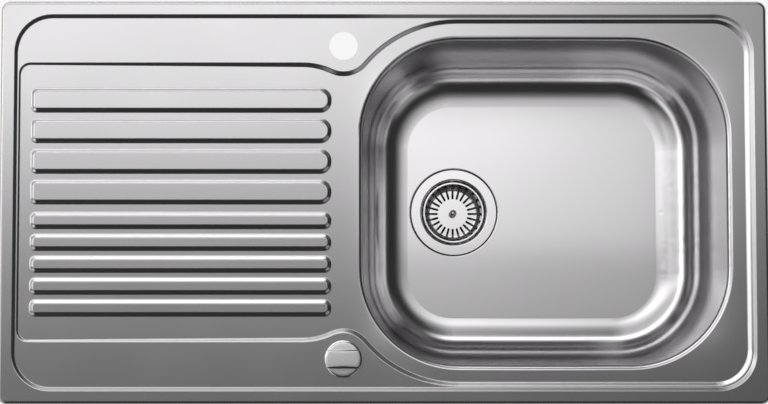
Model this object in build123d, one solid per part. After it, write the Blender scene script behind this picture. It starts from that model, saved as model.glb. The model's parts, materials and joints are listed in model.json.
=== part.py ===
"""Inset kitchen sink: a pressed steel sheet with one bowl and a ribbed drainboard,
a basket strainer waste that lifts by cable from a turning knob, and eight rim clamps."""
from build123d import *
import os
from math import asin, atan, atan2, cos, degrees, hypot, radians, sin, sqrt, tan

os.makedirs("parts", exist_ok=True)

# Millimetres. +X runs from the drainboard to the bowl, +Y to the tap, +Z up.
# The origin is the centre of the outline, in the plane of the worktop.

# ---- pressed sheet: outline, rim and levels
length = 950.0
width = 500.0
outer_corner = 12.0
sheet = 0.8
rim_z = 7.0             # top of the rim above the worktop
roll = 5.0              # outer radius of the rolled edge
skirt_gap = 0.5         # rolled edge to worktop
border_inset = 17.3     # outer edge to the first step
border_corner = 47.0
border_drop = 1.8
border_run = 4.2
step_gap = 1.7          # flat between the two steps beside the bowl
step_run = 4.4
board_drop = 1.2        # second step at the far end of the drainboard
board_fall = 2.0        # fall of the drainboard to the bowl
board_blend = 12.0
convex = 2.5            # outside radius of a pressed edge
concave = 2.0           # inside radius of a pressed edge

# ---- tap deck
deck_depth = 77.6       # outer edge to the long straight step
deck_corner = 14.0
deck_lead = 84.4        # arcs of the step, from the straight to the bowl
hole_sweep = 32.6
bowl_sweep = 150.0
pocket_corner = 44.0
tap_hole_r = 17.5
tap_inset = 56.2        # outer edge to the tap and control holes
tap_offset = 17.5       # holes to the left of the bowl's lip

# ---- drainboard ribs
rib_height = 2.8
rib_run = 4.5
rib_left = 38.5         # outer edge to the ribs
rib_right = 32.6        # ribs to the bowl's lip
rib_side = 31.1         # straight step to the first rib
wide_count = 4
wide_gap = 8.0
narrow_count = 5
narrow_gap = 6.6
narrow_share = 0.68     # width of a narrow rib over that of a wide one
group_gap = 10.2
rib_corner = 7.4
rib_flat = 2.2          # straight part of a rib's round end
rib_convex = 3.0
rib_concave = 3.0

# ---- bowl
bowl_side = 44.3        # outer edge to the lip at the right
bowl_edge = 42.4        # outer edge to the lip at front and back
bowl_length = 463.2
bowl_corner = 125.0
bowl_crown = 1.5        # how far a side bows out at its middle
bowl_depth = 160.0      # rim to floor
bowl_draft = 4.5
bowl_cove = 52.0
lip_radius = 6.5

# ---- waste seat in the bowl's floor
waste_clear = 3.1       # end of the cove to the seat
flange_r = 56.4
flange_sheet = 1.0
flange_sunk = 0.2       # flange top below the floor
seat_margin = 0.4       # flange to the bottom of the seat's wall
seat_run = 1.6
gasket = 1.2
waste_hole_r = 45.5

# ---- waste flange and its throat
throat_r = 42.6
throat_bend = 2.0
outlet_r = 18.0         # opening under the rubber stopper
outlet_depth = 36.0     # floor to the opening
cone_rise = 11.35       # height of the cone around the opening
hub_r = 10.0
window_r = 16.5
hub_arm = 4.0
waste_screw_r = 6.0
fit = 0.08              # radial clearance of a turning or sliding fit
gap = 0.3               # clearance between pieces that move apart
seat_play = 0.1         # clearance of a fixed piece in its hole

# ---- basket
basket_sheet = 0.8
basket_rim_r = 41.2
basket_bead = 1.1
basket_top = 5.0        # floor to the middle of the rim bead
basket_floor = 26.0     # floor to the underside of the basket
basket_wall_top = 38.9
basket_wall_foot = 34.6
basket_round = 5.0
slot_count = 24
slot_width = 2.9
slot_inner = 21.3
slot_top = 17.0         # floor to the top of the slots
knob_ball_r = 4.8
knob_stem_r = 2.4
foot_r = 4.0
foot_height = 1.5
stopper_r = 18.5
stopper_lip = 3.9       # how far the rubber lip stands out
stopper_disc = 2.6

# ---- waste body under the bowl
body_wall = 3.0
body_cup_gap = 1.9      # throat to the body's cup
body_flange = 4.0
body_gasket = 2.0
cup_depth = 36.0
chamber_r = 24.0
chamber_top = 50.0      # floor to the chamber, and to its foot
chamber_foot = 78.0
pipe_r = 23.9           # inch and a half thread
pipe_wall = 3.4
pipe_end = 95.0
boss_r = 9.0
boss_depth = 15.0
rib_wall = 3.0
screw_length = 17.0
screw_hex = 15.0
screw_head = 3.5

# ---- lifting gear
lift = 9.0
pin_r = 3.0
pin_head_r = 4.5
pin_head = 1.8
crank_arm = 12.0
crank_tip = 3.5
crank_width = 6.0
crank_neck = 4.5
crank_hub_r = 4.5
shaft_r = 3.0
shaft_depth = 64.0      # floor to the crank shaft
shaft_reach = 42.0      # waste axis to the shaft's outer end
shaft_tail = 6.0
gland_r = 8.0
gland_end = 36.0
gland_seal = 2.5
seal_r = 5.0            # outer radius of the shaft's seal
lever_arm = 12.0
lever_sheet = 2.0
lever_hub_r = 5.5
lever_gap = 0.5
clip = 0.8
nipple_r = 1.5
wire_r = 0.75
wire_side = 2.5         # wire beside the lever
holder = 12.0           # block that holds the cable's lower end
holder_reach = 22.0     # shaft to the block

# ---- control on the front deck
knob_r = 22.9
knob_gap = 0.5
knob_skirt = 7.0
knob_bar = 13.5
knob_bar_width = 22.0
knob_wall = 1.6
nut_r = 21.0
nut_height = 4.0
shank_r = 16.5
shank_rise = 5.0
control_r = 24.0
control_height = 32.0
control_gasket_height = 1.5
spindle_r = 4.0
spindle_depth = 24.0

# ---- cable
cable_r = 2.75
cable_straight = 2.0    # straight part between the cable's two bends
ferrule_r = 4.0
ferrule_length = 22.0
ferrule_bore = 18.0

# ---- seal, rails and clamps
seal_gap = 0.4          # seal to the inside of the rolled edge
seal_inner = 9.4        # outer edge to the inside of the seal
cutout_edge = 10.0      # outer edge to the edge of the worktop's cut-out
rail_sheet = 1.0
rail_flange = 6.2
rail_web = 5.0          # cut-out edge to the rail's web
rail_depth = 22.0
rail_lip = 5.5
rail_upturn = 6.0
rail_end = 70.0         # outer edge to the end of a rail
hook_sheet = 2.0
hook_width = 20.0
hook_reach = 36.0       # outer edge to the end of the hook
collar_r = 5.5
collar_height = 12.0
screw_r = 3.0
screw_inset = 28.0      # outer edge to the clamp screw
screw_tip = 16.0        # worktop plane to the screw's tip
clamp_screw_length = 46.0
head_r = 5.0
head_height = 5.0
claw_sheet = 2.5
claw_width = 16.0
claw_reach = 25.0
claw_rise = 15.0
claw_pad = 8.0
clamp_x = (-340.0, 40.0, 350.0)

# ---- bowl pad against noise
pad_width = 200.0
pad_height = 2.5
pad_corner = 20.0
pad_margin = 22.0       # waste body to the pad
pad_edge = 20.7         # pad to the start of the cove

# ---- places worked out from the sizes above
deck_z = rim_z - border_drop
board_z = deck_z - board_drop
bowl_z = board_z - board_fall
floor_z = rim_z - bowl_depth
bowl_left = length / 2 - bowl_side - bowl_length
bowl_x = bowl_left + bowl_length / 2
lip_inset = lip_radius * tan(radians(90 - bowl_draft) / 2)
cove_reach = (lip_inset + (bowl_z - floor_z) * tan(radians(bowl_draft))
              + bowl_cove * tan(radians(90 - bowl_draft) / 2))
waste_x = bowl_left + cove_reach + waste_clear + seat_run + seat_margin + flange_r
hole_x = bowl_left - tap_offset
hole_y = width / 2 - tap_inset
step_inset = border_inset + border_run + step_gap
bend_x = bowl_left - rib_right / 2
board_slope = atan(board_fall / (bend_x + length / 2 - step_inset))
rib_gaps = (wide_count - 1) * wide_gap + group_gap + (narrow_count - 1) * narrow_gap
wide_rib = (width - 2 * (deck_depth + rib_side) - rib_gaps) / (wide_count + narrow_count * narrow_share)
seat_depth = flange_sunk + flange_sheet + gasket
solid_foot = floor_z - 4 * seat_depth
swing = degrees(asin(lift / 2 / crank_arm))
lever_swing = degrees(asin(lift / 2 / lever_arm))
shaft_x = waste_x - crank_arm * (1 + cos(radians(swing))) / 2
shaft_z = floor_z - shaft_depth
wire_z = shaft_z + lever_arm * (1 + cos(radians(lever_swing))) / 2
lever_y = -(gland_end + lever_gap + lever_sheet)
wire_y = lever_y - lever_sheet / 2 - wire_side


def save(name, shape):
    """Write one piece under its own name and keep it for the printed list."""
    export_step(shape, f"parts/{name}.step")
    print(f"{name:20s} {shape.volume / 1000:9.2f} cm3  valid {shape.is_valid}")


# ============================================================ pressed sheet
def steepness(drop, run):
    return degrees(atan2(drop, run))


def moved(skin, angle):
    """How far a sharp edge of the surface moves sideways when it sinks by skin."""
    return skin * tan(radians(angle) / 2)


def arc_about(centre, start, end):
    """Arc from start to end about a centre, the short way round."""
    radius = hypot(start[0] - centre[0], start[1] - centre[1])
    half = ((start[0] + end[0]) / 2 - centre[0], (start[1] + end[1]) / 2 - centre[1])
    scale = radius / hypot(*half)
    return ThreePointArc(start, (centre[0] + half[0] * scale, centre[1] + half[1] * scale), end)


def touch(centre, other, radius, other_radius):
    """Point where two circles that touch from outside meet."""
    share = radius / (radius + other_radius)
    return (centre[0] + (other[0] - centre[0]) * share, centre[1] + (other[1] - centre[1]) * share)


def drainer_outline(grow):
    """Outline of the drainboard and bowl surround: it runs straight below the tap deck,
    dips round the tap hole and rises again round the bowl, the same at front and back."""
    left = step_inset - length / 2 - grow
    right = length / 2 - step_inset + grow
    top = width / 2 - step_inset + grow
    straight = width / 2 - deck_depth + grow
    corner, far_corner = deck_corner + grow, pocket_corner + grow
    lead, dip, sweep = deck_lead + grow, hole_sweep - grow, bowl_sweep + grow
    hole = (hole_x, hole_y)
    lead_y = straight - lead
    lead_at = (hole_x - sqrt((lead + dip) ** 2 - (hole_y - lead_y) ** 2), lead_y)
    sweep_y = top - sweep
    sweep_at = (hole_x + sqrt((dip + sweep) ** 2 - (hole_y - sweep_y) ** 2), sweep_y)
    into_dip = touch(lead_at, hole, lead, dip)
    out_of_dip = touch(hole, sweep_at, dip, sweep)
    half = [
        Line((left, 0), (left, straight - corner)),
        arc_about((left + corner, straight - corner), (left, straight - corner),
                  (left + corner, straight)),
        Line((left + corner, straight), (lead_at[0], straight)),
        arc_about(lead_at, (lead_at[0], straight), into_dip),
        arc_about(hole, into_dip, out_of_dip),
        arc_about(sweep_at, out_of_dip, (sweep_at[0], top)),
        Line((sweep_at[0], top), (right - far_corner, top)),
        arc_about((right - far_corner, top - far_corner), (right - far_corner, top),
                  (right, top - far_corner)),
        Line((right, top - far_corner), (right, 0)),
    ]
    return make_face(half + [edge.mirror(Plane.XZ) for edge in half])


def bowl_outline(grow):
    """Outline of the bowl where its wall would meet the surround without a lip:
    four slightly bowed sides and round corners."""
    x0 = bowl_left + lip_inset - grow
    x1 = bowl_left + bowl_length - lip_inset + grow
    y1 = width / 2 - bowl_edge - lip_inset + grow
    a, b, c, d = ((x0 + bowl_crown, y1 - bowl_crown), (x1 - bowl_crown, y1 - bowl_crown),
                  (x1 - bowl_crown, bowl_crown - y1), (x0 + bowl_crown, bowl_crown - y1))
    sides = make_face([ThreePointArc(a, (bowl_x, y1), b), ThreePointArc(b, (x1, 0), c),
                       ThreePointArc(c, (bowl_x, -y1), d), ThreePointArc(d, (x0, 0), a)])
    return fillet(sides.vertices(), bowl_corner - lip_inset + grow)


def edges_along(solid, outline, z):
    """Edges of a solid that follow an outline at one height."""
    wire = outline.face().outer_wire()

    def follows(edge):
        points = (edge @ 0, edge @ 0.5, edge @ 1)
        return all(abs(p.Z - z) < 0.01 and wire.distance_to(Vertex(p.X, p.Y, 0)) < 0.02
                   for p in points)

    return [edge for edge in solid.edges() if follows(edge)]


def plinth(skin):
    """Block under the pressed surface, with the rolled outer edge."""
    block = extrude(
        Plane((0, 0, solid_foot - skin))
        * RectangleRounded(length - 2 * skin, width - 2 * skin, outer_corner - skin),
        amount=rim_z - solid_foot,
    )
    return fillet(block.faces().sort_by(Axis.Z)[-1].edges(), roll - skin)


def press_border(body, skin):
    """First step down, all round."""
    angle = steepness(border_drop, border_run)
    grow = moved(skin, angle)
    outline = RectangleRounded(
        length - 2 * border_inset + 2 * grow,
        width - 2 * border_inset + 2 * grow,
        border_corner + grow,
    )
    tool = extrude(Plane((0, 0, rim_z - skin)) * outline, amount=-border_drop, taper=90 - angle)
    tool = fillet(tool.faces().sort_by(Axis.Z)[0].edges(), concave + skin)
    body = body - tool
    return fillet(edges_along(body, outline, rim_z - skin), convex - skin)


def board_profile(skin):
    """Space above the drainboard's floor, seen from the front: a gentle fall, then level."""
    left = (-length / 2, bowl_z - skin + tan(board_slope) * (bend_x + length / 2))
    start = (bend_x - board_blend, bowl_z - skin + tan(board_slope) * board_blend)
    end = (bend_x + board_blend, bowl_z - skin)
    right = (length / 2, bowl_z - skin)
    return make_face([
        Line(left, start),
        TangentArc(start, end, tangent=(cos(board_slope), -sin(board_slope))),
        Line(end, right),
        Polyline(right, (length / 2, 2 * rim_z), (-length / 2, 2 * rim_z), left),
    ])


def press_drainer(body, skin):
    """Second step down: the drainboard and the surround of the bowl, in one recess."""
    drop = board_drop + board_fall
    angle = steepness(drop, step_run)
    outline = drainer_outline(moved(skin, angle))
    tool = extrude(
        Plane((0, 0, deck_z - skin)) * outline, amount=-(drop + convex), taper=90 - angle
    )
    tool = tool & extrude(Plane.XZ * board_profile(skin), amount=width / 2, both=True)
    floors = [face for face in tool.faces() if face.normal_at().Z < -0.99]
    middles = [edge @ 0.5 for face in floors for edge in face.edges()]
    border = [edge for face in floors for edge in face.edges()
              if sum((edge @ 0.5 - other).length < 1e-4 for other in middles) == 1]
    body = body - fillet(border, concave + skin)
    return fillet(edges_along(body, outline, deck_z - skin), convex - skin)


def rib_rows():
    """Width and centre line of each rib, from the back to the front."""
    widths = [wide_rib] * wide_count + [wide_rib * narrow_share] * narrow_count
    gaps = [wide_gap] * (wide_count - 1) + [group_gap] + [narrow_gap] * (narrow_count - 1)
    edge = width / 2 - deck_depth - rib_side
    rows = []
    for rib_width, space in zip(widths, gaps + [0]):
        rows.append((rib_width, edge - rib_width / 2))
        edge -= rib_width + space
    return rows


def press_ribs(body, skin):
    """Raised ribs on the sloping floor, rounder at the end by the bowl."""
    angle = steepness(rib_height, rib_run)
    shrink = moved(skin, angle)
    board = Plane(
        origin=(bend_x, 0, bowl_z - skin),
        x_dir=(cos(board_slope), 0, -sin(board_slope)),
        z_dir=(sin(board_slope), 0, cos(board_slope)),
    )
    left = rib_left - length / 2 - bend_x + shrink
    right = bowl_left - rib_right - bend_x - shrink
    for rib_width, y in rib_rows():
        half = rib_width / 2 - shrink
        outline = make_face(Polyline(
            (left, -half), (right, -half), (right, half), (left, half), close=True))
        outline = fillet(outline.vertices().sort_by(Axis.X)[:2], rib_corner - shrink)
        round_end = outline.vertices().sort_by(Axis.X)[-2:]
        outline = fillet(round_end, (rib_width - rib_flat) / 2 - shrink)
        rib = extrude(board * Pos(0, y, 0) * outline, amount=rib_height, taper=90 - angle)
        body = body + fillet(rib.faces().sort_by(Axis.Z)[-1].edges(), rib_convex - skin)

    def at_foot(edge):
        points = [board.to_local_coords(edge @ k) for k in (0, 0.5, 1)]
        return all(
            abs(p.Z) < 0.01 and left - sheet < p.X < right + sheet
            and abs(p.Y) < rib_rows()[0][1] + wide_rib
            for p in points
        )

    return fillet([edge for edge in body.edges() if at_foot(edge)], rib_concave + skin)


def press_bowl(body, skin):
    """The bowl: drawn walls with a little draft, a wide cove and a rounded lip."""
    outline = bowl_outline(moved(skin, 90 - bowl_draft))
    cavity = extrude(
        Plane((0, 0, bowl_z - skin)) * outline, amount=-(bowl_z - floor_z), taper=bowl_draft
    )
    cavity = fillet(cavity.faces().sort_by(Axis.Z)[0].edges(), bowl_cove + skin)
    body = body - cavity
    return fillet(edges_along(body, outline, bowl_z - skin), lip_radius - skin)


def press_waste_seat(body, skin):
    """Round seat in the bowl's floor that takes the waste flange."""
    foot_radius = flange_r + seat_margin
    grow = moved(skin, steepness(seat_depth, seat_run))
    seat = Pos(waste_x, 0, floor_z - skin - seat_depth / 2) * Cone(
        foot_radius + grow, foot_radius + seat_run + grow, seat_depth)
    seat = fillet(seat.faces().sort_by(Axis.Z)[0].edges(), gasket / 2 + skin)
    body = body - seat
    edge = Pos(waste_x, 0) * Circle(foot_radius + seat_run + grow)
    return fillet(edges_along(body, edge, floor_z - skin), concave - skin)


def pressed_solid(skin):
    """Everything below the pressed surface when that surface is sunk by skin."""
    body = plinth(skin)
    for press in (press_border, press_drainer, press_ribs, press_bowl, press_waste_seat):
        body = press(body, skin)
    return body


def round_hole(x, y, z, radius):
    return Pos(x, y, z) * Cylinder(radius, 4 * rim_z)


def make_sheet():
    """The sheet is what lies between the pressed surface and its own copy, sunk by the
    thickness. The rolled edge ends just above the worktop."""
    steel = pressed_solid(0) - pressed_solid(sheet)
    inside = 2 * sheet
    frame = Rectangle(length + roll, width + roll) - RectangleRounded(
        length - 2 * inside, width - 2 * inside, outer_corner - inside)
    steel = steel - extrude(Plane((0, 0, skirt_gap)) * frame, amount=2 * solid_foot)
    steel = steel - round_hole(hole_x, hole_y, deck_z, tap_hole_r)
    steel = steel - round_hole(hole_x, -hole_y, deck_z, tap_hole_r)
    return steel - round_hole(waste_x, 0, floor_z, waste_hole_r)


# ============================================================ seal, pad, rails, clamps
def make_rim_seal():
    """Foam seal that fills the rolled edge and lies on the worktop."""
    outside = sheet + seal_gap
    height = rim_z - sheet
    ring = extrude(
        RectangleRounded(length - 2 * outside, width - 2 * outside, outer_corner - outside)
        - Rectangle(length - 2 * seal_inner, width - 2 * seal_inner),
        amount=height,
    )
    top = ring.faces().sort_by(Axis.Z)[-1].outer_wire().edges()
    return fillet(top, roll - outside + seal_gap / 2)


def make_bowl_pad():
    """Damping pad stuck under the bowl's floor, beside the waste."""
    start = waste_x + flange_r + pad_margin
    end = bowl_left + bowl_length - cove_reach - pad_edge
    outline = Pos((start + end) / 2, 0) * RectangleRounded(end - start, pad_width, pad_corner)
    return extrude(Plane((0, 0, floor_z - sheet)) * outline, amount=-pad_height)


def bent_strip(points, radius, thickness, breadth):
    """Strip bent along points (inset, z), as wide as breadth, about the local YZ plane."""
    line = FilletPolyline(*points, radius=radius)
    return extrude(Plane.YZ * trace(line, line_width=thickness), amount=breadth / 2, both=True)


def clamp_place(x, y):
    """Local frame at a point of the outer edge: +Y inwards, +X along the edge."""
    if abs(y) > abs(x) * width / length:
        return Pos(x, y) * Rot(0, 0, 0 if y < 0 else 180)
    return Pos(x, y) * Rot(0, 0, -90 if x < 0 else 90)


def make_rail(run):
    """J-shaped rail, welded under the rim."""
    web = cutout_edge + rail_web + rail_sheet / 2
    half = rail_sheet / 2
    top = rim_z - sheet - half
    foot = -rail_depth + half
    points = [
        (web + half - rail_flange, top),
        (web, top),
        (web, foot),
        (web + rail_lip, foot),
        (web + rail_lip, foot + rail_upturn - half),
    ]
    return bent_strip(points, rail_sheet, rail_sheet, run)


hook_z = rail_upturn - rail_depth + gap + hook_sheet / 2
hook_foot_z = rail_sheet - rail_depth + gap
hook_tongue_y = cutout_edge + rail_web + rail_sheet + gap + hook_sheet / 2
under_head_z = -screw_tip - clamp_screw_length


def make_clamp_hook():
    """Hook that hangs on the rail and carries the screw in a threaded collar."""
    plate = bent_strip(
        [(hook_tongue_y, hook_foot_z), (hook_tongue_y, hook_z), (hook_reach, hook_z)],
        hook_sheet, hook_sheet, hook_width)
    collar = Pos(0, screw_inset, hook_z - collar_height / 2) * Cylinder(collar_r, collar_height)
    bore = Pos(0, screw_inset, hook_z) * Cylinder(screw_r + fit, 4 * collar_height)
    return plate + collar - bore


def make_clamp_screw():
    """Clamp screw, worked from below: its head lifts the claw."""
    shank = Pos(0, screw_inset, under_head_z) * Cylinder(
        screw_r, clamp_screw_length, align=(Align.CENTER, Align.CENTER, Align.MIN))
    shank = chamfer(shank.faces().sort_by(Axis.Z)[-1].edges(), screw_r / 4)
    head = Pos(0, screw_inset, under_head_z - head_height) * extrude(
        RegularPolygon(head_r, 6, major_radius=False), amount=head_height)
    return shank + chamfer(head.faces().sort_by(Axis.Z)[0].edges(), head_height / 8)


def make_clamp_claw():
    """Claw on the screw: folded in along the rail, it swings out under the worktop."""
    base_z = under_head_z + gap + claw_sheet / 2
    tip_z = base_z + claw_rise
    knee = claw_width / 2 + claw_sheet
    arm = bent_strip(
        [(-claw_width / 2, base_z), (knee, base_z), (claw_reach - claw_pad, tip_z),
         (claw_reach, tip_z)],
        claw_sheet, claw_sheet, claw_width)
    arm = Pos(0, screw_inset) * Rot(0, 0, -90) * arm
    return arm - Pos(0, screw_inset, base_z) * Cylinder(screw_r + fit, 4 * claw_sheet)


# ============================================================ waste
def revolved(face):
    """Turn a profile drawn as (radius, height) about the waste's axis."""
    turned = revolve(Plane.XZ * face, Axis.Z)
    return Pos(waste_x, 0, floor_z) * turned


def at_waste(shape):
    return Pos(waste_x, 0, floor_z) * shape


def ring_face(inner, outer, low, high):
    return Pos((inner + outer) / 2, (low + high) / 2) * Rectangle(outer - inner, high - low)


def make_waste_flange():
    """Pressed flange: a flat ring in the floor, a straight throat, a cone down to the
    outlet and a hub on four arms that takes the waste screw."""
    half = flange_sheet / 2
    top = -flange_sunk - half
    wall = throat_r + half
    line = FilletPolyline(
        (flange_r, top),
        (wall, top),
        (wall, half - outlet_depth + cone_rise),
        (outlet_r, -half - outlet_depth),
        (waste_screw_r + seat_play, -half - outlet_depth),
        radius=(throat_bend, throat_bend, flange_sheet),
    )
    cup = revolved(trace(line, line_width=flange_sheet))
    windows = extrude(Circle(window_r) - Circle(hub_r), amount=-2 * flange_sheet)
    windows -= Box(3 * window_r, hub_arm, 9 * flange_sheet)
    windows -= Box(hub_arm, 3 * window_r, 9 * flange_sheet)
    return cup - at_waste(Pos(0, 0, -outlet_depth + half) * windows)


def make_flange_gasket():
    inner = waste_hole_r + seat_play
    return revolved(ring_face(inner, flange_r - gap, -seat_depth, gasket - seat_depth))


def make_body_gasket():
    top = -seat_depth - sheet
    return revolved(ring_face(waste_hole_r + gasket, flange_r, top - body_gasket, top))


def make_waste_body():
    """Moulded body: a cup round the throat, a spider with the threaded boss, the lifting
    chamber with its gland, the threaded outlet and the arm that holds the cable."""
    top = -seat_depth - sheet - body_gasket
    cup = throat_r + flange_sheet + body_cup_gap
    outer_chamber = chamber_r + body_wall
    step = pipe_wall / 2
    outside = make_face(Polyline(
        (0, top), (flange_r + seat_margin, top), (flange_r + seat_margin, top - body_flange),
        (cup + body_wall, top - body_flange), (cup + body_wall, -cup_depth),
        (outer_chamber, -chamber_top), (outer_chamber, -chamber_foot),
        (pipe_r, -chamber_foot - step), (pipe_r, -pipe_end), (0, -pipe_end), close=True))
    bore = pipe_r - pipe_wall
    inside = make_face(Polyline(
        (0, top), (cup, top), (cup, -cup_depth), (chamber_r, body_wall - chamber_top),
        (chamber_r, body_wall - chamber_foot - step), (bore, step - chamber_foot),
        (bore, -pipe_end), (0, -pipe_end), close=True))
    shell = revolved(outside - inside)
    boss_top = -outlet_depth - flange_sheet
    boss_foot = boss_top - boss_depth
    boss = at_waste(Pos(0, 0, boss_foot) * Cylinder(
        boss_r, boss_depth, align=(Align.CENTER, Align.CENTER, Align.MIN)))
    arm_length = 2 * chamber_r + body_wall
    arm_z = (boss_foot + body_wall - chamber_top) / 2
    arm_height = 2 * (arm_z - boss_foot) + body_wall
    arms = at_waste(Pos(0, 0, arm_z) * (
        Box(arm_length, rib_wall, arm_height) + Box(rib_wall, arm_length, arm_height)))
    gland_start = -chamber_r * cos(asin((waste_x - shaft_x) / chamber_r))
    gland_length = gland_end + gland_start
    gland = Pos(shaft_x, gland_start - gland_length / 2, shaft_z) * Rot(90, 0, 0) * Cylinder(
        gland_r, gland_length)
    holder_x = shaft_x - holder_reach - holder / 2
    holder_y = wire_y
    stay_length = holder_reach + holder
    stay = Pos(shaft_x - stay_length / 2, -gland_end + body_wall / 2, wire_z) * Box(
        stay_length, body_wall, holder)
    block_depth = -gland_end - (holder_y - holder / 2) + body_wall
    block = Pos(holder_x, -gland_end + body_wall - block_depth / 2, wire_z) * Box(
        holder, block_depth, holder)
    block = fillet(block.edges().filter_by(Axis.X), holder / 8)
    body = shell + boss + arms + gland + stay + block
    body -= at_waste(Pos(0, 0, boss_top) * Cylinder(waste_screw_r + seat_play, 3 * boss_depth))
    body -= Pos(shaft_x, -gland_end / 2, shaft_z) * Rot(90, 0, 0) * Cylinder(
        shaft_r + fit, gland_end + seat_play)
    body -= Pos(shaft_x, gland_seal / 2 - gland_end, shaft_z) * Rot(90, 0, 0) * Cylinder(
        seal_r, gland_seal)
    return body - Pos(holder_x, wire_y, wire_z) * Rot(0, 90, 0) * Cylinder(
        ferrule_r + seat_play, 2 * holder)


def make_waste_screw():
    """Hollow screw that pulls flange and body together. The lift pin slides in it."""
    top = -outlet_depth
    head = Pos(0, 0, top) * extrude(
        RegularPolygon(screw_hex / 2, 6, major_radius=False), amount=screw_head)
    head = chamfer(head.faces().sort_by(Axis.Z)[-1].edges(), screw_head / 8)
    shank = Pos(0, 0, top - screw_length / 2) * Cylinder(waste_screw_r, screw_length)
    bore = Pos(0, 0, top) * Cylinder(pin_r + fit, 3 * screw_length)
    return at_waste(head + shank - bore)


pin_head_z = screw_head - outlet_depth + gap
pin_foot_z = -shaft_depth - crank_arm * sin(radians(swing)) + crank_tip + gap


def make_lift_pin():
    """Pin that carries the basket and stands on the crank."""
    low = pin_foot_z + pin_r
    stem = Pos(0, 0, (pin_head_z + low) / 2) * Cylinder(pin_r, pin_head_z - low)
    head = Pos(0, 0, pin_head_z + pin_head / 2) * Cylinder(pin_head_r, pin_head)
    head = chamfer(head.faces().sort_by(Axis.Z)[-1].edges(), pin_head / 4)
    return at_waste(Pos(0, 0, low) * Sphere(pin_r) + stem + head)


def make_lift_crank():
    """Crank inside the chamber: the pin stands on its round tip, clear of its neck."""
    outline = Circle(crank_hub_r) + Pos(crank_arm, 0) * Circle(crank_tip)
    outline += Pos(crank_arm / 2, 0) * Rectangle(crank_arm, crank_neck)
    outline -= Circle(shaft_r + seat_play / 2)
    arm = extrude(Plane.XZ * outline, amount=crank_width / 2, both=True)
    return Pos(shaft_x, 0, shaft_z) * Rot(0, swing, 0) * arm


def make_cable_lever():
    """Lever outside the gland; the cable's nipple sits in its slot."""
    slot_length = 2 * (nipple_r + gap) + lever_arm * (1 - cos(radians(lever_swing)))
    tip = Pos(lever_arm, 0)
    tip_circle = tip * Circle(slot_length / 2 + lever_sheet)
    outline = make_hull([*Circle(lever_hub_r).edges(), *tip_circle.edges()])
    outline -= Circle(shaft_r + seat_play / 2)
    outline -= tip * SlotOverall(slot_length, 2 * (nipple_r + gap))
    arm = extrude(Plane.XZ * outline, amount=lever_sheet / 2, both=True)
    arm = Pos(shaft_x, lever_y, shaft_z) * Rot(0, lever_swing - 90, 0) * arm
    hub_length = -gland_end - lever_gap - lever_y
    hub = Cylinder(lever_hub_r, hub_length) - Cylinder(shaft_r + seat_play / 2, hub_length)
    return arm + Pos(shaft_x, lever_y + hub_length / 2, shaft_z) * Rot(90, 0, 0) * hub


def make_crank_shaft():
    span = shaft_reach + shaft_tail
    shaft = Pos(shaft_x, (shaft_tail - shaft_reach) / 2, shaft_z) * Rot(90, 0, 0) * Cylinder(
        shaft_r, span)
    shaft = chamfer(shaft.edges().filter_by(GeomType.CIRCLE), shaft_r / 6)
    groove = Cylinder(2 * shaft_r, clip + 2 * seat_play) - Cylinder(
        shaft_r - clip, clip + 2 * seat_play)
    return shaft - Pos(shaft_x, clip_y, shaft_z) * Rot(90, 0, 0) * groove


clip_y = lever_y - lever_sheet / 2 - clip / 2 - seat_play


def make_shaft_clip():
    """Open retaining ring in the shaft's groove, outside the lever."""
    ring = Circle(shaft_r + 2 * clip) - Circle(shaft_r - clip + seat_play)
    ring -= Pos(0, -shaft_r) * Rectangle(shaft_r, 3 * shaft_r)
    return Pos(shaft_x, clip_y, shaft_z) * Rot(90, 0, 0) * extrude(ring, amount=clip / 2, both=True)


def make_shaft_seal():
    ring = Cylinder(seal_r - seat_play, gland_seal) - Cylinder(shaft_r + gap, gland_seal)
    return Pos(shaft_x, gland_seal / 2 - gland_end, shaft_z) * Rot(90, 0, 0) * ring


# ============================================================ basket
def make_basket():
    """Pressed basket: a cup with a beaded rim and slots that run up its rounded foot."""
    half = basket_sheet / 2
    floor = half - basket_floor
    line = FilletPolyline(
        (knob_stem_r + seat_play, floor),
        (basket_wall_foot, floor),
        (basket_wall_top, -basket_top),
        (basket_rim_r - basket_bead, -basket_top),
        radius=(basket_round, basket_bead),
    )
    bead = Pos(basket_rim_r - basket_bead, -basket_top) * Circle(basket_bead)
    cup = revolved(trace(line, line_width=basket_sheet) + bead)
    slot = Pos(slot_inner, 0, -basket_floor) * Box(
        basket_rim_r, slot_width, 2 * (basket_floor - slot_top),
        align=(Align.MIN, Align.CENTER, Align.CENTER))
    end = Pos(slot_inner, 0, -basket_floor) * Cylinder(slot_width / 2, 4 * basket_sheet)
    for turn in range(slot_count):
        cup -= at_waste(Rot(0, 0, turn * 360 / slot_count + 90) * (slot + end))
    return cup


def make_basket_knob():
    """Turned knob on a stem through the basket, with the foot that rests on the pin."""
    low = pin_head_z + pin_head + gap
    ball_z = -basket_floor + basket_sheet + 2 * knob_ball_r
    stem = Pos(0, 0, (low + ball_z) / 2) * Cylinder(knob_stem_r, ball_z - low)
    foot = Pos(0, 0, low + foot_height / 2) * Cylinder(foot_r, foot_height)
    return at_waste(stem + foot + Pos(0, 0, ball_z) * Sphere(knob_ball_r))


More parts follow.
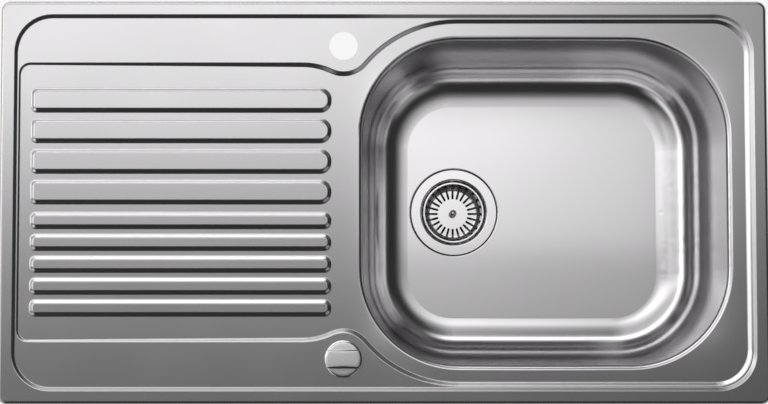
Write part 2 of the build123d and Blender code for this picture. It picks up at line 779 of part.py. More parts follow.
def make_basket_seal():
    """Rubber stopper under the basket; its lip closes the cone above the outlet."""
    top = -basket_floor
    disc = pin_head_z + pin_head + gap + foot_height
    slope = cone_rise / (throat_r - outlet_r)
    lip_r = stopper_r + stopper_lip
    lip_z = -outlet_depth + slope * (lip_r - outlet_r) + 2 * gap
    edge_r = lip_r - stopper_disc / 3
    edge_z = -outlet_depth + slope * (edge_r - outlet_r) + gap / cos(atan(slope))
    face = make_face(Polyline(
        (knob_stem_r + seat_play, top), (stopper_r, top), (stopper_r, (top + lip_z) / 2),
        (lip_r, lip_z), (edge_r, edge_z), (stopper_r - stopper_disc, (disc + edge_z) / 2),
        (stopper_r - 2 * stopper_disc, disc), (knob_stem_r + seat_play, disc), close=True))
    return revolved(face)


# ============================================================ control
def at_control(shape):
    return Pos(hole_x, -hole_y, deck_z) * shape


def make_control_body():
    """Housing under the deck, its threaded shank up through the hole, the spindle's
    bearing and the socket of the cable."""
    top = -sheet - control_gasket_height
    housing = Pos(0, 0, top - control_height / 2) * Cylinder(control_r, control_height)
    housing = chamfer(housing.edges().filter_by(GeomType.CIRCLE), control_r / 16)
    shank_length = shank_rise - top
    shank = Pos(0, 0, top + shank_length / 2) * Cylinder(shank_r, shank_length)
    shank = chamfer(shank.faces().sort_by(Axis.Z)[-1].edges(), sheet)
    body = housing + shank
    body -= Pos(0, 0, shank_rise - spindle_depth / 2) * Cylinder(spindle_r + fit, spindle_depth)
    socket = ferrule_length / 2
    foot = top - control_height
    return at_control(body - Pos(0, 0, foot + socket / 2) * Cylinder(ferrule_r + seat_play, socket))


def make_control_gasket():
    top = -sheet
    ring = Circle(control_r - 2 * sheet) - Circle(tap_hole_r)
    return at_control(Pos(0, 0, top - control_gasket_height) * extrude(
        ring, amount=control_gasket_height))


def make_control_nut():
    """Ring nut on the shank, hidden by the knob."""
    ring = Pos(0, 0, nut_height / 2) * (
        Cylinder(nut_r, nut_height) - Cylinder(shank_r + seat_play, nut_height))
    ring = chamfer(ring.faces().sort_by(Axis.Z)[-1].outer_wire().edges(), sheet)
    notch = Pos(nut_r, 0, nut_height) * Box(sheet * 4, sheet * 4, nut_height)
    for turn in range(6):
        ring -= Rot(0, 0, turn * 60) * notch
    return at_control(ring)


def make_control_spindle():
    """Spindle with two flats that turns the cable drum inside the housing."""
    low = shank_rise - spindle_depth + gap
    high = knob_bar + knob_gap - 3 * knob_wall
    spindle = Pos(0, 0, (low + high) / 2) * Cylinder(spindle_r, high - low)
    flat = Pos(0, 0, high) * Box(3 * spindle_r, 3 * spindle_r, 2 * (high - shank_rise - gap))
    keep = Pos(0, 0, high) * Box(3 * spindle_r, 1.5 * spindle_r, 9 * spindle_r)
    return at_control(spindle - (flat - keep))


def make_control_knob():
    """Round knob: a raised bar across it is gripped to turn it. Its top is plain."""
    skirt = Pos(0, 0, knob_gap + knob_skirt / 2) * Cylinder(knob_r, knob_skirt)
    skirt = fillet(skirt.faces().sort_by(Axis.Z)[-1].edges(), knob_wall / 2)
    bar = Pos(0, 0, knob_gap + knob_bar / 2) * Cylinder(knob_r, knob_bar)
    bar = fillet(bar.faces().sort_by(Axis.Z)[-1].edges(), knob_wall / 2)
    bar &= Pos(0, 0, knob_gap + knob_bar / 2) * Box(3 * knob_r, knob_bar_width, 2 * knob_bar)
    bar = fillet(bar.edges().filter_by(Axis.X).sort_by(Axis.Z)[-2:], knob_wall / 2)
    hollow_top = knob_skirt + knob_gap - knob_wall
    hollow = Pos(0, 0, hollow_top / 2) * Cylinder(knob_r - knob_wall, hollow_top)
    boss = Pos(0, 0, (hollow_top + shank_rise + 2 * gap) / 2) * Cylinder(
        2 * spindle_r, hollow_top - shank_rise - 2 * gap)
    high = knob_bar + knob_gap - 3 * knob_wall + seat_play
    socket = Pos(0, 0, high / 2) * Cylinder(spindle_r + seat_play, high)
    socket &= Pos(0, 0, high / 2) * Box(
        3 * spindle_r, 1.5 * spindle_r + 2 * seat_play, high)
    return at_control(skirt + bar - hollow + boss - socket)


# ============================================================ cable
control_foot_z = deck_z - sheet - control_gasket_height - control_height
cable_top = (hole_x, -hole_y, control_foot_z - ferrule_length / 2)
cable_end_x = shaft_x - holder_reach - holder / 2 - ferrule_length / 2
cable_end = (cable_end_x, wire_y, wire_z)


def make_cable_sheath():
    """Cable from the control down beside the bowl and across under it to the waste."""
    corner_a = (hole_x, -hole_y, wire_z)
    corner_b = (hole_x, wire_y, wire_z)
    bend = (hole_y + wire_y - cable_straight) / 2
    runs = (cable_top[2] - wire_z, hole_y + wire_y, cable_end_x - hole_x)
    print("cable runs", [round(run, 1) for run in runs], "bend radius", round(bend, 1))
    path = FilletPolyline(cable_top, corner_a, corner_b, cable_end, radius=bend)
    print("cable length", round(path.length, 1))
    start = Plane(origin=path @ 0, z_dir=path % 0)
    return sweep(start * Circle(cable_r), path=path)


def ferrule(bore):
    """Crimped end of the cable, along Z, open at its far end if it has a bore."""
    sleeve = Cylinder(ferrule_r, ferrule_length)
    sleeve = chamfer(sleeve.edges().filter_by(GeomType.CIRCLE), ferrule_r / 8)
    if bore:
        sleeve -= Pos(0, 0, (ferrule_length - ferrule_bore) / 2) * Cylinder(bore, ferrule_bore)
    return sleeve


def make_control_ferrule():
    return Pos(hole_x, -hole_y, control_foot_z) * ferrule(0)


def make_waste_ferrule():
    return Pos(cable_end_x + ferrule_length / 2, wire_y, wire_z) * Rot(0, 90, 0) * ferrule(
        wire_r + fit)


def make_cable_wire():
    """Inner wire between the lower end of the sheath and the lever, with its nipple."""
    nipple_x = shaft_x + lift / 2
    ferrule_mouth = cable_end_x + ferrule_length
    tail_x = ferrule_mouth - ferrule_bore + lift + gap
    wire = Pos((tail_x + nipple_x) / 2, wire_y, wire_z) * Rot(0, 90, 0) * Cylinder(
        wire_r, nipple_x - tail_x)
    low = wire_y - 2 * nipple_r
    high = lever_y + lever_sheet / 2 + nipple_r / 2
    nipple = Pos(nipple_x, (low + high) / 2, wire_z) * Rot(90, 0, 0) * Cylinder(
        nipple_r, high - low)
    return wire + nipple


# ============================================================ all the pieces
save("sink_sheet", make_sheet())
save("rim_seal", make_rim_seal())
save("bowl_pad", make_bowl_pad())

half_length, half_width = length / 2, width / 2
rails = {
    "front": (0, -half_width, length - 2 * rail_end),
    "back": (0, half_width, length - 2 * rail_end),
    "left": (-half_length, 0, width - 2 * rail_end),
    "right": (half_length, 0, width - 2 * rail_end),
}
for side, (x, y, run) in rails.items():
    save(f"clamp_rail_{side}", clamp_place(x, y) * make_rail(run))

clamp_points = [(x, -half_width) for x in clamp_x] + [(x, half_width) for x in clamp_x]
clamp_points += [(-half_length, 0), (half_length, 0)]
for number, (x, y) in enumerate(clamp_points, 1):
    place = clamp_place(x, y)
    save(f"clamp_hook_{number}", place * make_clamp_hook())
    save(f"clamp_screw_{number}", place * make_clamp_screw())
    save(f"clamp_claw_{number}", place * make_clamp_claw())

save("waste_flange", make_waste_flange())
save("flange_gasket", make_flange_gasket())
save("body_gasket", make_body_gasket())
save("waste_body", make_waste_body())
save("waste_screw", make_waste_screw())
save("lift_pin", make_lift_pin())
save("lift_crank", make_lift_crank())
save("crank_shaft", make_crank_shaft())
save("cable_lever", make_cable_lever())
save("shaft_clip", make_shaft_clip())
save("shaft_seal", make_shaft_seal())
save("strainer_basket", make_basket())
save("basket_seal", make_basket_seal())
save("basket_knob", make_basket_knob())
save("control_body", make_control_body())
save("control_gasket", make_control_gasket())
save("control_nut", make_control_nut())
save("control_spindle", make_control_spindle())
save("control_knob", make_control_knob())
save("cable_sheath", make_cable_sheath())
save("control_ferrule", make_control_ferrule())
save("waste_ferrule", make_waste_ferrule())
save("cable_wire", make_cable_wire())
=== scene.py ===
# %% [markdown]
# # An inset kitchen sink
# The sink is one pressed sheet of stainless steel with a bowl and a ribbed drainboard.
# A basket strainer, the gear that lifts it, a knob and eight rim clamps belong to it.
# The CAD model gives every piece its shape and its place, so this lesson is about the
# camera, the light and the finishes, and about the few shapes that CAD leaves plain.

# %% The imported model
import json
from math import cos, pi, radians, sin, tan

import bmesh
import bpy
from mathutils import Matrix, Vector


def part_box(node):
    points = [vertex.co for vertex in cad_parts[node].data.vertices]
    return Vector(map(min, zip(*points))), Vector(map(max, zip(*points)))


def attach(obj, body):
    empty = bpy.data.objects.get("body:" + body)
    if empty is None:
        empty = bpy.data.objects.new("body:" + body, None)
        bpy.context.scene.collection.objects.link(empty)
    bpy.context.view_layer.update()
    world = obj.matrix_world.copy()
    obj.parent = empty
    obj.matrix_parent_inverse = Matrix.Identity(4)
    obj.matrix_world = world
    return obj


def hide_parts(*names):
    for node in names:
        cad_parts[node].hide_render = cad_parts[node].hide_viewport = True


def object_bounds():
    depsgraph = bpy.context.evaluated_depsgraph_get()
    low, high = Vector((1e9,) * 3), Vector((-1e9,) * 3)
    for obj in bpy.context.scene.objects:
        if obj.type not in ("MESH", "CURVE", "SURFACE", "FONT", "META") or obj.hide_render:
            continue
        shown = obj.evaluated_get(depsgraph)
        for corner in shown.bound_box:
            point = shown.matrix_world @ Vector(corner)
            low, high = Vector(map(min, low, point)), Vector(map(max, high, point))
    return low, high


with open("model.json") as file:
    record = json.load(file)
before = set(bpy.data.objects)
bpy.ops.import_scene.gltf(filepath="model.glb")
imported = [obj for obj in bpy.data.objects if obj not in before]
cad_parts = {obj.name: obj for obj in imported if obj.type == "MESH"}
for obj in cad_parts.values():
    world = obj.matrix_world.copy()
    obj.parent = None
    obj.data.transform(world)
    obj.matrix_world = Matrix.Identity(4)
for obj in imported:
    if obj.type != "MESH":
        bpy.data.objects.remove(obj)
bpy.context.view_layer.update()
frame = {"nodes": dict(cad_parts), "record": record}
nodes = frame["nodes"]

# %% [markdown]
# ## Camera
# The photograph looks straight down with a rising front: the eye stands over the front
# edge, and yet the sink's sides run parallel. A lens that is shifted sideways and up does
# that. Tilting the camera alone would make the far side shorter. Here a small tilt and a
# small shift share the work, so that the other views, which keep the shift, stay centred.

# %% The camera over the front edge
eye = Vector((-0.0306, -0.180, 1.970))
tilt = radians(3.02)
camera_data = bpy.data.cameras.new("camera")
camera_data.lens = 74.93
camera_data.sensor_width = 36.0
camera_data.shift_x, camera_data.shift_y = 0.0323, 0.080
camera = bpy.data.objects.new("camera", camera_data)
camera.location = eye
camera.rotation_euler = (tilt, 0, 0)
bpy.context.collection.objects.link(camera)
bpy.context.scene.camera = camera
bpy.context.scene.view_settings.view_transform = "Standard"
print("the eye is", round(eye.z, 2), "m above the worktop's plane")

# %% [markdown]
# ## Writing nodes
# A sky or a material is a small network of nodes. Written out in full, each node takes
# several lines, and the idea is lost among them. So one helper adds a node and sets or
# links its inputs, one does a sum, and two more ease a value and multiply masks. With
# them a network reads almost like a formula.

# %% Node helpers
def socket_of(made, name):
    """An input by its name, or by its number where the name is i0, i1 and so on."""
    if name[0] == "i" and name[1:].isdigit():
        return made.inputs[int(name[1:])]
    return made.inputs[name.replace("_", " ")]


def add(tree, kind, settings=None, **inputs):
    """Add a node; an input is a value, or another node's output socket."""
    made = tree.nodes.new(kind)
    for name, value in (settings or {}).items():
        setattr(made, name, value)
    for name, value in inputs.items():
        if isinstance(value, bpy.types.NodeSocket):
            tree.links.new(value, socket_of(made, name))
        else:
            socket_of(made, name).default_value = value
    return made


def maths(tree, operation, a, b=0.0):
    """One Math node; returns its output."""
    return add(tree, "ShaderNodeMath", {"operation": operation}, i0=a, i1=b).outputs[0]


def smooth(tree, value, low, high, start=0.0, end=1.0):
    """Ease from start to end while value goes from low to high."""
    return add(tree, "ShaderNodeMapRange", {"interpolation_type": "SMOOTHSTEP"}, Value=value,
               From_Min=low, From_Max=high, To_Min=start, To_Max=end).outputs[0]


def product(tree, first, *others):
    """Multiply values and masks with each other."""
    for other in others:
        first = maths(tree, "MULTIPLY", first, other)
    return first


print("node helpers: add, maths, smooth, product")

# %% [markdown]
# ## The sky
# Steel shows what is around it more than its own colour, so most of its look is the sky.
# In the photograph one bright panel hangs at the back and a smaller one at the left, and
# overhead the room is dark. Glowing sheets could stand there, but a sky is smoother and
# is in nobody's way. It is written in slopes: how far a ray leans back or right for each
# step up. Flat steel looks straight up and stays dark, and an edge that is rolled to the
# back or the left finds a panel.

# %% The slopes of a ray
world = bpy.data.worlds.new("studio")
bpy.context.scene.world = world
world.use_nodes = True
sky = world.node_tree
sky.nodes.clear()
ray = add(sky, "ShaderNodeSeparateXYZ", i0=add(sky, "ShaderNodeTexCoord").outputs["Generated"])
ray_right, ray_back, ray_up = ray.outputs
least_up = 0.02
step_up = maths(sky, "MAXIMUM", ray_up, least_up)
lean_right = maths(sky, "DIVIDE", ray_right, step_up)
lean_back = maths(sky, "DIVIDE", ray_back, step_up)
lean_left = maths(sky, "MULTIPLY", lean_right, -1.0)
print("slopes from", len(sky.nodes), "nodes")

# %% The two panels
panel_light, panel_edge, panel_steepness = 1.38, 0.152, 19.0
# the panel at the back rises steeply, and is dimmer to the right and lower down
rise = maths(sky, "MULTIPLY", maths(sky, "SUBTRACT", lean_back, panel_edge), panel_steepness)
rise = maths(sky, "MINIMUM", maths(sky, "EXPONENT", rise), 1.0)
back_panel = product(sky, rise,
                     smooth(sky, lean_right, -0.02, 0.24, 1.0, 0.32),
                     smooth(sky, lean_right, 0.22, 0.55, 1.0, 0.0),
                     smooth(sky, lean_back, 0.32, 0.50, 1.0, 0.50))
# the panel at the left begins further out
left_panel = product(sky,
                     smooth(sky, lean_left, 0.26, 0.55, 0.0, 0.55),
                     smooth(sky, lean_left, 0.8, 1.6, 1.0, 0.7),
                     smooth(sky, lean_back, -0.8, 0.0))
panel = product(sky, maths(sky, "MAXIMUM", back_panel, left_panel), panel_light)
print("the back panel is at its full light from a slope of", panel_edge)

# %% [markdown]
# Steep walls look out sideways, below both panels. A bright band low at the back, fainter
# at the left, lights them, and a grey ring near the horizon keeps every other side
# visible. Between the four main directions the sky is lighter, for whoever looks from a
# corner behind.

# %% The band, the dark room and the ring
band_back, band_left = 2.2, 1.4
room_above, room_round, ring_grey = 0.118, 0.035, 0.28
back_side = product(sky,
                    smooth(sky, ray_back, 0.3, 0.7, 0.0, band_back),
                    smooth(sky, ray_right, 0.1, 0.45, 1.0, 0.0))
left_side = smooth(sky, ray_right, -0.7, -0.3, band_left, 0.0)
band = product(sky,
               smooth(sky, ray_up, 0.36, 0.41),
               smooth(sky, ray_up, 0.51, 0.57, 1.0, 0.0),
               maths(sky, "MAXIMUM", back_side, left_side))
lean = maths(sky, "SQRT", maths(sky, "ADD", product(sky, lean_right, lean_right),
                                product(sky, lean_back, lean_back)))
room = smooth(sky, lean, 0.2, 0.6, room_above, room_round)
overhead = maths(sky, "ADD", maths(sky, "ADD", panel, band), room)
light = add(sky, "ShaderNodeMix", {"data_type": "FLOAT"},
            Factor=smooth(sky, ray_up, 0.10, 0.36), i2=ring_grey, i3=overhead).outputs[0]
print("the room overhead is", room_above, "and the ring", ring_grey)

# %% The lighter corners, and what the camera sees
corner_light = 0.38
across_both = product(sky, ray_right, ray_back, 2.0)
level = maths(sky, "SUBTRACT", 1.0001, product(sky, ray_up, ray_up))  # never quite 0
skew = maths(sky, "ABSOLUTE", maths(sky, "DIVIDE", across_both, level))
corners = product(sky,
                  smooth(sky, skew, 0.55, 0.9, 0.0, corner_light),
                  smooth(sky, ray_back, -0.15, 0.05, 1.0, 0.35),
                  smooth(sky, ray_up, 0.48, 0.66, 1.0, 0.0))
light = maths(sky, "MAXIMUM", light, corners)
path = add(sky, "ShaderNodeLightPath")
seen = add(sky, "ShaderNodeMix", {"data_type": "FLOAT"},
           Factor=path.outputs["Is Camera Ray"], i2=light, i3=1.0).outputs[0]
back = add(sky, "ShaderNodeBackground", Color=(1, 1, 1, 1), Strength=seen)
add(sky, "ShaderNodeOutputWorld", Surface=back.outputs[0])
print("sky made of", len(sky.nodes), "nodes")

# %% [markdown]
# ## The floor
# A plain pale floor lies just under the outlet. White paint alone would look grey in this
# dark room, and more light would spoil the steel. So the paint glows for rays that come
# straight from the camera, from steel or through glass. A share of it stays matt, and
# that share shows the sink's shadow.

# %% The floor
floor_gap, floor_half, glow_share = 0.001, 12.0, 0.88
floor_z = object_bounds()[0].z - floor_gap
bm = bmesh.new()
bmesh.ops.create_grid(bm, x_segments=1, y_segments=1, size=floor_half)
bmesh.ops.translate(bm, vec=(0, 0, floor_z), verts=bm.verts)
floor_mesh = bpy.data.meshes.new("floor")
bm.to_mesh(floor_mesh)
bm.free()
floor = bpy.data.objects.new("floor", floor_mesh)
bpy.context.collection.objects.link(floor)

paint = bpy.data.materials.new("pale floor")
paint.use_nodes = True
tree = paint.node_tree
tree.nodes.clear()
path = add(tree, "ShaderNodeLightPath")
straight = maths(tree, "MAXIMUM", path.outputs["Is Camera Ray"],
                 maths(tree, "MAXIMUM", path.outputs["Is Glossy Ray"],
                       path.outputs["Is Transmission Ray"]))
matt = add(tree, "ShaderNodeBsdfDiffuse", Color=(0.80, 0.80, 0.80, 1))
glow = add(tree, "ShaderNodeEmission", Color=(1, 1, 1, 1), Strength=1.0)
share = maths(tree, "MULTIPLY", straight, glow_share)
mixed = add(tree, "ShaderNodeMixShader", i0=share, i1=matt.outputs[0], i2=glow.outputs[0])
add(tree, "ShaderNodeOutputMaterial", Surface=mixed.outputs[0])
floor_mesh.materials.append(paint)
print("floor at", round(floor_z * 1000), "mm")

# %% [markdown]
# ## Lamps over the bowl
# The bowl's floor is much brighter than the deck round it. A sky can't do that, because it
# lies equally far from both. So three area lamps hang low over the bowl. They shine down
# in a narrow cone, and from above only their backs are turned to us, which stay unseen.

# %% The lamps, as x, y, length, width and watts
lamp_height, lamp_spread = 0.35, radians(75)
panels = {
    "bowl panel": (0.24, 0.0975, 0.50, 0.235, 0.0450),
    "bowl panel front": (0.24, -0.095, 0.50, 0.15, 0.0150),
    "bowl panel right": (0.39, 0.03, 0.20, 0.37, 0.0125),
}
for name, (x, y, length, width, watts) in panels.items():
    lamp_data = bpy.data.lights.new(name, "AREA")
    lamp_data.shape = "RECTANGLE"
    lamp_data.size, lamp_data.size_y = length, width
    lamp_data.energy = watts
    lamp_data.spread = lamp_spread
    lamp = bpy.data.objects.new(name, lamp_data)
    lamp.location = (x, y, lamp_height)
    bpy.context.collection.objects.link(lamp)
print(len(panels), "lamps:", ", ".join(panels))

# %% [markdown]
# ## Finishes of steel
# Real satin steel has a fine grain that runs one way, and faint cloudy patches. A picture
# of brushed metal would need a map and would repeat. A noise texture that is stretched
# along the grain gives the scratches, and a large soft one the clouds. Both go into one
# group, because every metal piece uses them with its own values.

# %% Grain and clouds
grain = bpy.data.node_groups.new("grain", "ShaderNodeTree")
for label, way, kind in (("Point", "INPUT", "NodeSocketVector"),
                         ("Fineness", "INPUT", "NodeSocketFloat"),
                         ("Length", "INPUT", "NodeSocketFloat"),
                         ("Height", "OUTPUT", "NodeSocketFloat"),
                         ("Clouds", "OUTPUT", "NodeSocketFloat")):
    grain.interface.new_socket(label, in_out=way, socket_type=kind)
takes, gives = grain.nodes.new("NodeGroupInput"), grain.nodes.new("NodeGroupOutput")
point = add(grain, "ShaderNodeSeparateXYZ", i0=takes.outputs["Point"])
across = takes.outputs["Fineness"]
along = maths(grain, "DIVIDE", across, takes.outputs["Length"])
stretched = add(grain, "ShaderNodeCombineXYZ",
                X=maths(grain, "MULTIPLY", point.outputs[0], along),
                Y=maths(grain, "MULTIPLY", point.outputs[1], across),
                Z=maths(grain, "MULTIPLY", point.outputs[2], across))
scratches = add(grain, "ShaderNodeTexNoise", {"noise_dimensions": "3D"},
                Vector=stretched.outputs[0], Scale=1.0, Detail=3.0, Roughness=0.6)
clouds = add(grain, "ShaderNodeTexNoise",
             Vector=takes.outputs["Point"], Scale=9.0, Detail=3.0, Roughness=0.5)
grain.links.new(scratches.outputs[0], gives.inputs["Height"])
grain.links.new(clouds.outputs[0], gives.inputs["Clouds"])
print("grain group:", len(grain.nodes), "nodes")


# %% The metals
def material(name):
    """A material with one Principled shader; returns it, its tree and the shader."""
    made = bpy.data.materials.new(name)
    made.use_nodes = True
    return made, made.node_tree, made.node_tree.nodes["Principled BSDF"]


def satin_metal(name, colour, roughness, spread, fineness, length, depth):
    """Satin metal: the grain goes into the bump and the clouds into the roughness."""
    made, tree, shader = material(name)
    place = add(tree, "ShaderNodeTexCoord").outputs["Object"]
    marks = add(tree, "ShaderNodeGroup", {"node_tree": grain},
                Point=place, Fineness=fineness, Length=length)
    rough = smooth(tree, marks.outputs["Clouds"], 0.1, 0.9, roughness - spread, roughness + spread)
    tree.links.new(rough, shader.inputs["Roughness"])
    bump = add(tree, "ShaderNodeBump", Height=marks.outputs["Height"], Distance=depth)
    tree.links.new(bump.outputs[0], shader.inputs["Normal"])
    shader.inputs["Base Color"].default_value = (*colour, 1)
    shader.inputs["Metallic"].default_value = 1.0
    return made


# colour, roughness and its spread, then the grain's fineness, length and depth
finish = {
    "pressed_steel": satin_metal(
        "pressed steel", (0.622, 0.612, 0.622), 0.19, 0.015, 1800, 30, 6e-7),
    "waste_steel": satin_metal("waste steel", (0.66, 0.65, 0.66), 0.17, 0.02, 2600, 6, 4e-6),
    "knob_steel": satin_metal("knob steel", (0.90, 0.89, 0.90), 0.40, 0.03, 2600, 14, 3e-6),
    "polished_steel": satin_metal(
        "polished steel", (0.74, 0.73, 0.74), 0.08, 0.02, 2600, 6, 1e-6),
    "zinc_steel": satin_metal("zinc plated steel", (0.55, 0.56, 0.58), 0.34, 0.05, 900, 1, 1e-5),
    "brass": satin_metal("brass", (0.72, 0.56, 0.26), 0.30, 0.03, 900, 1, 1e-5),
}
print(len(finish), "metals:", ", ".join(finish))


# %% [markdown]
# ## Rubber and plastic
# The seals, the cable and the plastic housings are moulded. A moulded skin is never quite
# smooth, and its sheen is a little uneven. One plain value would look like clay, so one
# fine noise drives both the roughness and a shallow bump.

# %% The moulded finishes
def moulded(name, colour, roughness, spread, scale, depth):
    """Plastic or rubber: a fine moulded skin with an uneven sheen."""
    made, tree, shader = material(name)
    place = add(tree, "ShaderNodeTexCoord").outputs["Object"]
    skin = add(tree, "ShaderNodeTexNoise", Vector=place, Scale=scale, Detail=4.0, Roughness=0.6)
    rough = add(tree, "ShaderNodeMapRange", Value=skin.outputs[0], From_Min=0.3, From_Max=0.7,
                To_Min=roughness - spread, To_Max=roughness + spread)
    tree.links.new(rough.outputs[0], shader.inputs["Roughness"])
    bump = add(tree, "ShaderNodeBump", Height=skin.outputs[0], Distance=depth)
    tree.links.new(bump.outputs[0], shader.inputs["Normal"])
    shader.inputs["Base Color"].default_value = (*colour, 1)
    return made


# colour, roughness and its spread, then the skin's scale and depth
finish.update({
    "foam_rubber": moulded("foam rubber", (0.030, 0.030, 0.032), 0.85, 0.10, 900, 2e-4),
    "black_rubber": moulded("black rubber", (0.018, 0.018, 0.018), 0.50, 0.08, 300, 5e-5),
    "white_plastic": moulded("white plastic", (0.78, 0.78, 0.76), 0.42, 0.06, 500, 4e-5),
    "grey_plastic": moulded("grey plastic", (0.16, 0.16, 0.17), 0.45, 0.06, 500, 4e-5),
    "cable_plastic": moulded("cable cover", (0.020, 0.020, 0.022), 0.35, 0.06, 500, 4e-5),
    "bitumen": moulded("damping sheet", (0.05, 0.05, 0.052), 0.80, 0.10, 160, 3e-4),
})
print(len(finish), "finishes:", ", ".join(finish))

# %% [markdown]
# ## Dressing the CAD nodes
# Each CAD node is one physical piece, and the part's record names its finish. The finish
# could be set piece by piece, but one loop over the record can't forget a piece.

# %% Finishes on the CAD nodes
slot_of ={part["node"]: part["material_slot"] for part in frame["record"]["subparts"]}
body_of = {node: body
           for body, members in frame["record"]["behaviour"]["bodies"].items()
           for node in members}
for name, piece in nodes.items():
    for slot in piece.material_slots:
        slot.material = finish[slot_of[name]]
print("finished", len(nodes), "CAD nodes")

# %% [markdown]
# ## The knob
# The real knob is a low dome, its skirt, with a bar across it that the fingers grip. Its
# edges are cut to narrow polished faces. It could be cut from solids with booleans, but
# these faces matter most, and they come more evenly from a lathe: a profile is drawn from
# the axis to the rim and spun round. The bar is a taller dome from the same helper.
# Upright planes slice its sides off and slanted ones its upper edges, and each cut is
# closed with one face. A bevel would be ragged there, because it meets every small face
# of the crown.

# %% A lathe and the knob's place
TURN_STEPS = 96


def place_of(node):
    """Middle of a node's box in x and y, its lowest and its highest z."""
    lowest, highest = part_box(node)
    return (lowest.x + highest.x) / 2, (lowest.y + highest.y) / 2, lowest.z, highest.z


def lathe(profile, steps=TURN_STEPS):
    """Spin (radius, height) points once round Z; returns a bmesh with its seam closed."""
    bm = bmesh.new()
    verts = [bm.verts.new((radius, 0, height)) for radius, height in profile]
    edges = [bm.edges.new(pair) for pair in zip(verts, verts[1:])]
    bmesh.ops.spin(bm, geom=verts + edges, cent=(0, 0, 0), axis=(0, 0, 1), dvec=(0, 0, 0),
                   angle=2 * pi, steps=steps, use_merge=True, use_duplicate=False)
    bmesh.ops.remove_doubles(bm, verts=bm.verts, dist=1e-6)
    bmesh.ops.recalc_face_normals(bm, faces=bm.faces)
    return bm


def finished(bm, name, body, slot, place, smooth_under=40):
    """Move a bmesh to its place, make it an object with its finish, and ride it on its body."""
    bmesh.ops.translate(bm, vec=place, verts=bm.verts)
    mesh = bpy.data.meshes.new(name)
    bm.to_mesh(mesh)
    bm.free()
    mesh.shade_smooth()
    mesh.set_sharp_from_angle(angle=radians(smooth_under))
    mesh.materials.append(finish[slot])
    piece = bpy.data.objects.new(name, mesh)
    bpy.context.collection.objects.link(piece)
    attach(piece, body)
    return piece


knob_x, knob_y, knob_low, knob_high = place_of("control_knob")
knob_lowest, knob_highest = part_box("control_knob")
knob_r = (knob_highest.x - knob_lowest.x) / 2
print("knob", round(knob_r * 2000, 1), "mm wide,",
      round((knob_high - knob_low) * 1000, 1), "mm tall")

# %% The two domes
CHAMFER_SLOPE = radians(28)
CROWN_POINTS = 8


def dome_top(radius, height, fall, edge, corner=0.0003):
    """Points of a crowned top from the axis outwards, with a chamfer at the rim."""
    flat = radius - edge
    crown = [(flat * i / CROWN_POINTS, height - fall * (i / CROWN_POINTS) ** 2)
             for i in range(CROWN_POINTS + 1)]
    rim_z = height - fall - (edge - corner) * tan(CHAMFER_SLOPE)
    return crown + [(radius - corner, rim_z), (radius, rim_z - corner)]


knob_wall, skirt_height, skirt_crown, skirt_edge = 0.0016, 0.007, 0.0005, 0.0022
bar_inset, bar_root, bar_crown, bar_edge = 0.0001, 0.002, 0.0004, 0.0020
skirt_top = knob_low + skirt_height
inner_r, inner_top = knob_r - knob_wall, skirt_top - knob_wall
knob = lathe(dome_top(knob_r, skirt_top, skirt_crown, skirt_edge)
             + [(knob_r, knob_low), (inner_r, knob_low), (inner_r, inner_top), (0, inner_top)])
bar_r, bar_foot = knob_r - bar_inset, skirt_top - bar_root
bar = lathe(dome_top(bar_r, knob_high, bar_crown, bar_edge) + [(bar_r, bar_foot), (0, bar_foot)])
print("domes of", len(knob.faces), "and", len(bar.faces), "faces")


# %% The bar, sliced and joined to the skirt
def slice_off(bm, point, normal):
    """Cut away what lies beyond a plane and close the cut with one face."""
    cut = bmesh.ops.bisect_plane(bm, geom=bm.verts[:] + bm.edges[:] + bm.faces[:], dist=1e-7,
                                 plane_co=point, plane_no=normal, clear_outer=True)
    rim = [part for part in cut["geom_cut"] if isinstance(part, bmesh.types.BMEdge)]
    bmesh.ops.contextual_create(bm, geom=rim)


bar_width, bar_chamfer, level_normal = 0.0224, 0.0022, 0.97
for side in (1, -1):
    slice_off(bar, (0, side * bar_width / 2, 0), (0, side, 0))
    slice_off(bar, (0, side * (bar_width / 2 - bar_chamfer), knob_high - bar_crown / 4),
              (0, side * sin(CHAMFER_SLOPE), cos(CHAMFER_SLOPE)))
bar_mesh = bpy.data.meshes.new("bar")
bar.to_mesh(bar_mesh)
knob.from_mesh(bar_mesh)
bar.free()
bpy.data.meshes.remove(bar_mesh)
# level faces stay satin, and all others take the second finish, which is polished
for face in knob.faces:
    face.material_index = 1 if face.normal.z < level_normal else 0
knob_piece = finished(knob, "turning_knob", "knob", "knob_steel", (knob_x, knob_y, 0),
                      smooth_under=50)
knob_piece.data.materials.append(finish["polished_steel"])
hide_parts("control_knob")
print("knob made of", len(knob_piece.data.polygons), "faces")

# %% [markdown]
# ## The basket's rim
# A pressed basket ends in a rolled rim whose top is flattened a little, and that flat
# catches the light as a bright ring. A torus would be too round, so it is one more lathe
# profile: a flat top between two rounded edges, closed underneath, where it sits on the
# basket's bead.

# %% The bright ring on the basket
basket_x, basket_y, _, basket_high = place_of("strainer_basket")
ring_inner, ring_outer, ring_round = 0.0379, 0.0406, 0.0005
ring_proud, ring_sunk = 0.0002, 0.0012
ring_top, ring_foot = basket_high + ring_proud, basket_high - ring_sunk
bend_z = ring_top - ring_round
bends = [step * pi / 8 for step in range(5)]
outer_bend = [(ring_outer - ring_round + ring_round * sin(bend), bend_z + ring_round * cos(bend))
              for bend in bends]
inner_bend = [(ring_inner + ring_round - ring_round * cos(bend), bend_z + ring_round * sin(bend))
              for bend in bends]
ring_under = [(ring_outer, ring_foot), (ring_inner, ring_foot)]
ring = lathe(inner_bend + outer_bend + ring_under + inner_bend[:1])
basket_rim = finished(ring, "basket_rim", "basket", "waste_steel", (basket_x, basket_y, 0))
print("rim ring", round(2000 * ring_outer, 1), "mm wide")

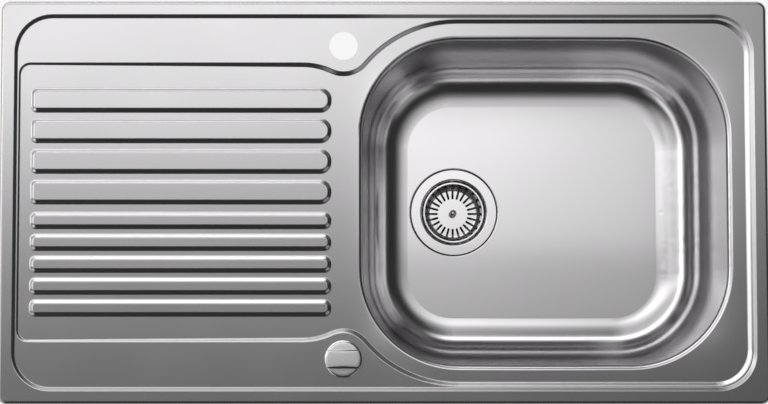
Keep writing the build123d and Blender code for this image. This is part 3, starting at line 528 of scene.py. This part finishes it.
# %% [markdown]
# ## Threads
# A clamp screw is a cut thread, and so is the outlet where the trap's nut goes on. Rings
# set one above another would look like a thread from afar, but they don't climb. A thread
# is a small ridge that climbs as it turns, which is what spin does when it is given a step
# along the axis as well as an angle. The ridge's section is spun over all the turns at
# once, and its two ends are closed with a face. The core is a plain lathe inside it.

# %% A helper for threads
ROOT_SHARE, CREST_FROM, CREST_TO = 0.3, 0.42, 0.58


def thread(bm, radius, depth, pitch, low, high, steps):
    """Add a ridge that climbs round Z from low to high on a core of the given radius."""
    count = int(round(((high - low) / pitch - 1) * steps))
    root_r, crest_r = radius - depth * ROOT_SHARE, radius + depth
    section = [(root_r, 0), (crest_r, pitch * CREST_FROM), (crest_r, pitch * CREST_TO),
               (root_r, pitch)]
    verts = [bm.verts.new((r, 0, low + z)) for r, z in section]
    edges = [bm.edges.new(pair) for pair in zip(verts, verts[1:] + verts[:1])]
    spun = bmesh.ops.spin(bm, geom=verts + edges, cent=(0, 0, 0), axis=(0, 0, 1),
                          dvec=(0, 0, pitch / steps), angle=2 * pi * count / steps, steps=count,
                          use_merge=False, use_duplicate=False)
    last = [part for part in spun["geom_last"] if isinstance(part, bmesh.types.BMVert)]
    bmesh.ops.contextual_create(bm, geom=verts)
    bmesh.ops.contextual_create(bm, geom=last)


print("a thread's crest takes", round(CREST_TO - CREST_FROM, 2), "of its pitch")

# %% [markdown]
# Each rim clamp is drawn tight from below with a hexagon screw. The CAD model gives it as
# a smooth rod with a head, and a bump can't show a thread from the side. So each screw is
# made anew with its thread, on the same axis and between the same ends, and it replaces
# the plain one.

# %% The clamp screws
screw_pitch, screw_depth, screw_steps = 0.0010, 0.0005, 20
core_r, core_root, core_steps, tip = 0.0025, 0.001, 24, 0.0008
head_r, head_height, head_round = 0.00577, 0.0050, 0.0006


def clamp_bolt(low, high):
    """A threaded shank on a hexagon head whose lower edges are rounded."""
    shank_low = low + head_height
    core_low = shank_low - core_root
    screw = lathe([(0, core_low), (core_r, core_low), (core_r, high - tip), (core_r - tip, high),
                   (0, high)], core_steps)
    thread(screw, core_r, screw_depth, screw_pitch, shank_low, high - tip, screw_steps)
    head = bmesh.ops.create_cone(screw, cap_ends=True, segments=6, radius1=head_r,
                                 radius2=head_r, depth=head_height)
    bmesh.ops.translate(screw, vec=(0, 0, low + head_height / 2), verts=head["verts"])
    under = {edge for vert in head["verts"] for edge in vert.link_edges
             if all(abs(end.co.z - low) < 1e-6 for end in edge.verts)}
    bmesh.ops.bevel(screw, geom=list(under), affect="EDGES", offset=head_round, segments=2,
                    profile=0.5, material=-1)
    bmesh.ops.recalc_face_normals(screw, faces=screw.faces)
    return screw


screws = [name for name in nodes if name.startswith("clamp_screw_")]
for name in screws:
    x, y, low, high = place_of(name)
    piece = finished(clamp_bolt(low, high), name.replace("clamp_screw", "clamp_bolt"),
                     body_of[name], "zinc_steel", (x, y, 0), 30)
    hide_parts(name)
print(len(screws), "screws,", len(piece.data.polygons), "faces each")

# %% [markdown]
# The outlet's thread is coarser, for a plastic nut. The plain outlet of the CAD model is
# its core and is right as it is, so the thread is only fitted over it and replaces
# nothing.

# %% The outlet's thread
outlet_r, outlet_depth, outlet_pitch, outlet_steps = 0.0239, 0.0007, 0.0023, 72
thread_from, thread_to = 0.0006, 0.0145
outlet_x, outlet_y = place_of("waste_flange")[:2]
outlet_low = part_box("waste_body")[0].z
outlet = bmesh.new()
thread(outlet, outlet_r, outlet_depth, outlet_pitch, outlet_low + thread_from,
       outlet_low + thread_to, outlet_steps)
bmesh.ops.recalc_face_normals(outlet, faces=outlet.faces)
outlet_piece = finished(outlet, "outlet_thread", "root", slot_of["waste_body"],
                        (outlet_x, outlet_y, 0), 30)
print("outlet thread of", len(outlet_piece.data.polygons), "faces")
